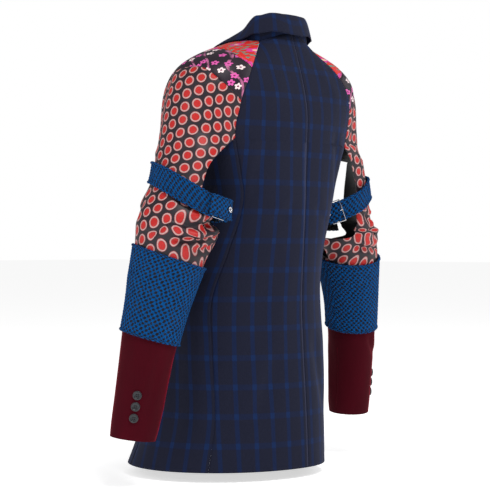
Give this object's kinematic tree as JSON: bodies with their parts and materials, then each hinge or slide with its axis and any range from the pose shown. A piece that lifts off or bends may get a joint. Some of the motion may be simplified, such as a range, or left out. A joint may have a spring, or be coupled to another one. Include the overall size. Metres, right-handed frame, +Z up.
{
  "type": "blazer",
  "caption": "Long hollow tailored blazer with saddle patchwork sleeves cut open at the elbow, buckled straps, tweed forearm bands and velvet cuffs.",
  "frame": {"origin": "middle of the neck at the height of the shoulders, where the wearer carries the garment", "axes": "+Z up the body, -Y towards the wearer's front, +X towards the wearer's left"},
  "size_m": [0.653, 0.3416, 0.7678],
  "materials": {
    "wool_check": "navy wool with a woven windowpane check",
    "flower_brocade": "red brocade with scattered flowers and leaves",
    "plum_silk": "dark plum silk with small pink and white sprigs",
    "dot_silk": "charcoal silk twill with a repeat of red ringed dots",
    "blue_tweed": "thick blue basket-weave tweed",
    "velvet": "burgundy cotton velvet",
    "steel": "polished nickel-plated steel",
    "horn": "dark polished four-hole buttons"
  },
  "bodies": {
    "root": {"collar_stand": "wool_check", "collar_fall": "wool_check", "back_left": "wool_check", "side_left": "wool_check", "front_left": "wool_check", "lapel_left": "wool_check", "shoulder_red_left": "flower_brocade", "shoulder_plum_left": "plum_silk", "sleeve_left": "dot_silk", "band_left": "blue_tweed", "cuff_left": "velvet", "strap_left": "blue_tweed", "tail_left": "blue_tweed", "buckle_left": "steel", "prong_left": "steel", "eyelet_left": "steel", "cuff_button_left_1": "horn", "cuff_button_left_2": "horn", "cuff_button_left_3": "horn", "back_right": "wool_check", "side_right": "wool_check", "front_right": "wool_check", "lapel_right": "wool_check", "shoulder_red_right": "flower_brocade", "shoulder_plum_right": "plum_silk", "sleeve_right": "dot_silk", "band_right": "blue_tweed", "cuff_right": "velvet", "strap_right": "blue_tweed", "tail_right": "blue_tweed", "buckle_right": "steel", "prong_right": "steel", "eyelet_right": "steel", "cuff_button_right_1": "horn", "cuff_button_right_2": "horn", "cuff_button_right_3": "horn", "front_button_1": "horn", "front_button_2": "horn"}
  },
  "joints": []
}
